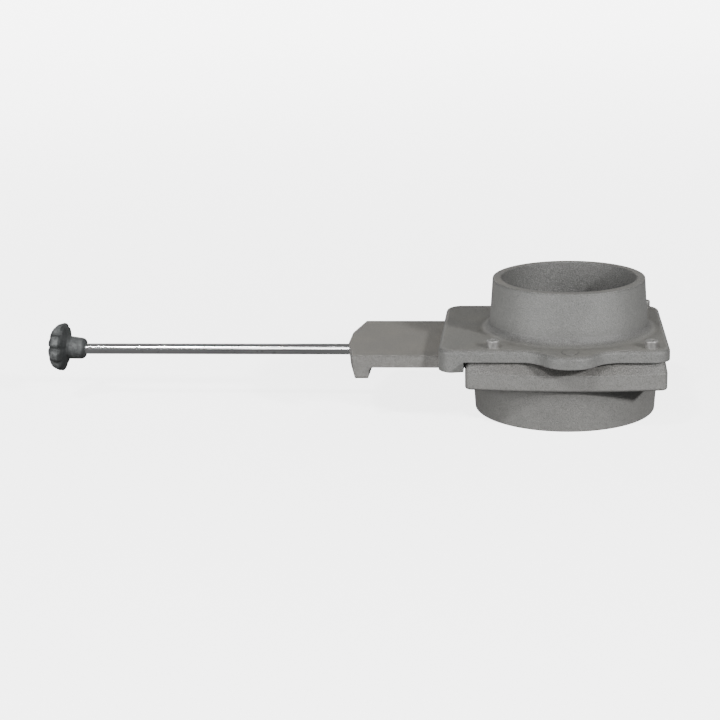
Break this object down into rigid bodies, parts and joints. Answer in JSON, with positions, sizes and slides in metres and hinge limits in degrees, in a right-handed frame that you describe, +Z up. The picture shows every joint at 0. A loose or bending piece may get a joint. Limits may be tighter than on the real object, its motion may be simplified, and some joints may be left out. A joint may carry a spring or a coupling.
{
  "type": "stove pipe damper",
  "caption": "Cast iron slide gate damper for a stove pipe: round sockets above and below, and a flat gate pulled out on a long rod with a lobed knob.",
  "frame": {"origin": "axis of the lower collar in the plane of its rim; the flue axis of the upper collar stands 2.6 mm to the +X side", "axes": "+Z up along the flue, the gate is pulled out towards -X, the long sides face -Y and +Y"},
  "size_m": [0.51, 0.1892, 0.1078],
  "materials": {
    "casting": "shot-blasted as cast",
    "rod_steel": "bright drawn",
    "knob_iron": "dark as cast",
    "screw_steel": "dull grey"
  },
  "bodies": {
    "casing": {"upper_casting": "casting", "lower_casting": "casting", "cap_screws": "screw_steel"},
    "gate": {"gate_plate": "casting", "pull_rod": "rod_steel", "knob": "knob_iron"}
  },
  "joints": [
    {"name": "gate_slide", "type": "slide", "parent": "casing", "child": "gate", "axis": [1, 0, 0], "range_m": [-0.033, 0.0765]}
  ]
}
